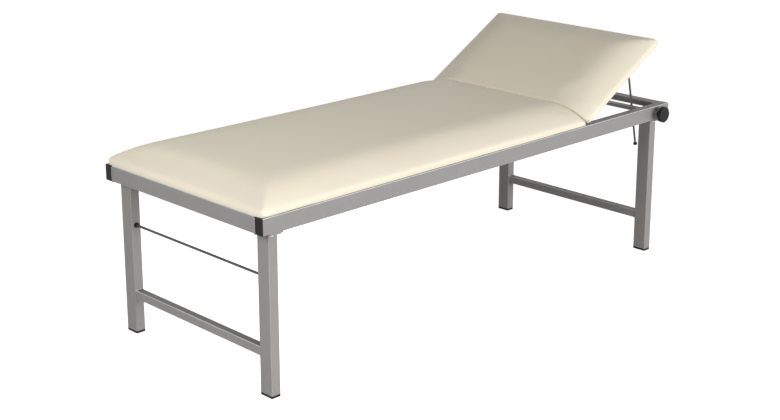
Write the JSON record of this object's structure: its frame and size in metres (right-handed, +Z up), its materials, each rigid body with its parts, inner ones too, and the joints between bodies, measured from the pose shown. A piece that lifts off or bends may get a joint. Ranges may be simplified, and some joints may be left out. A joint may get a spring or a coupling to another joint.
{
  "type": "examination couch",
  "caption": "Padded examination couch on a square-tube frame: fixed flat section, head section raised on a clamped support rod, and a paper roll rod between the foot legs.",
  "frame": {"origin": "on the floor, below the middle of the frame", "axes": "+Z up, +X from the foot end to the head end, +Y from the side with the knob to the far side"},
  "size_m": [2, 0.856, 0.8471],
  "materials": {
    "frame_paint": "satin",
    "black_plastic": "matte",
    "cream_vinyl": "satin",
    "white_board": "matte",
    "dark_steel": "satin",
    "zinc_steel": "satin"
  },
  "bodies": {
    "frame": {"board_screws": "zinc_steel", "cross_rail_foot": "frame_paint", "cross_rail_middle": "frame_paint", "foot_plug_foot_far": "black_plastic", "foot_plug_foot_near": "black_plastic", "foot_plug_head_far": "black_plastic", "foot_plug_head_near": "black_plastic", "foot_rail": "frame_paint", "head_rail": "frame_paint", "hinge_fixed_leaf_far": "zinc_steel", "hinge_fixed_leaf_near": "zinc_steel", "hinge_pin_far": "zinc_steel", "hinge_pin_near": "zinc_steel", "hinge_rail": "frame_paint", "hinge_rail_screws": "zinc_steel", "leg_bolts": "zinc_steel", "leg_foot_far": "frame_paint", "leg_foot_near": "frame_paint", "leg_head_far": "frame_paint", "leg_head_near": "frame_paint", "leg_nuts": "zinc_steel", "leg_plate_foot_far": "frame_paint", "leg_plate_foot_near": "frame_paint", "leg_plate_head_far": "frame_paint", "leg_plate_head_near": "frame_paint", "main_board": "white_board", "main_cushion": "cream_vinyl", "rail_cap_foot_far": "black_plastic", "rail_cap_foot_near": "black_plastic", "rail_cap_head_far": "black_plastic", "rail_cap_head_near": "black_plastic", "roll_bush_far": "black_plastic", "roll_bush_near": "black_plastic", "shaft_bush_far": "frame_paint", "shaft_bush_near": "frame_paint", "side_rail_far": "frame_paint", "side_rail_near": "frame_paint", "stretcher_foot": "frame_paint", "stretcher_head": "frame_paint"},
    "head_section": {"head_board": "white_board", "head_cushion": "cream_vinyl", "hinge_board_screws": "zinc_steel", "rod_bracket": "zinc_steel", "rod_bracket_screws": "zinc_steel", "rod_pin": "zinc_steel", "hinge_moving_leaf_far": "zinc_steel", "hinge_moving_leaf_near": "zinc_steel"},
    "support_rod": {"support_rod": "dark_steel", "rod_end_stop": "black_plastic"},
    "clamp_shaft": {"clamp_shaft": "frame_paint", "shaft_cap": "black_plastic", "shaft_collar_far": "zinc_steel", "shaft_collar_near": "zinc_steel", "clamp_pad": "zinc_steel"},
    "knob": {"knob": "black_plastic", "clamp_spindle": "zinc_steel"},
    "roll_rod": {"roll_rod": "dark_steel"}
  },
  "joints": [
    {"name": "head_tilt", "type": "hinge", "parent": "frame", "child": "head_section", "pos_m": [0.516, 0, 0.585], "axis": [0, -1, 0], "range_deg": [-30, 20]},
    {"name": "rod_swing", "type": "hinge", "parent": "head_section", "child": "support_rod", "pos_m": [0.87593, -0.286, 0.78126], "axis": [0, -1, 0], "range_deg": [-10.1, 15.1]},
    {"name": "shaft_turn", "type": "hinge", "parent": "frame", "child": "clamp_shaft", "pos_m": [0.925, 0, 0.557], "axis": [0, -1, 0], "range_deg": [-15.1, 10.1]},
    {"name": "knob_turn", "type": "hinge", "parent": "clamp_shaft", "child": "knob", "pos_m": [0.925, -0.42, 0.557], "axis": [0, -1, 0], "range_deg": [0, 360]},
    {"name": "roll_rod_slide", "type": "slide", "parent": "frame", "child": "roll_rod", "axis": [0, 1, 0], "range_m": [0, 0.012]}
  ],
  "couplings": [
    {"joint": "rod_swing", "follows": "head_tilt", "ratio": -0.5},
    {"joint": "shaft_turn", "follows": "head_tilt", "ratio": 0.5}
  ]
}
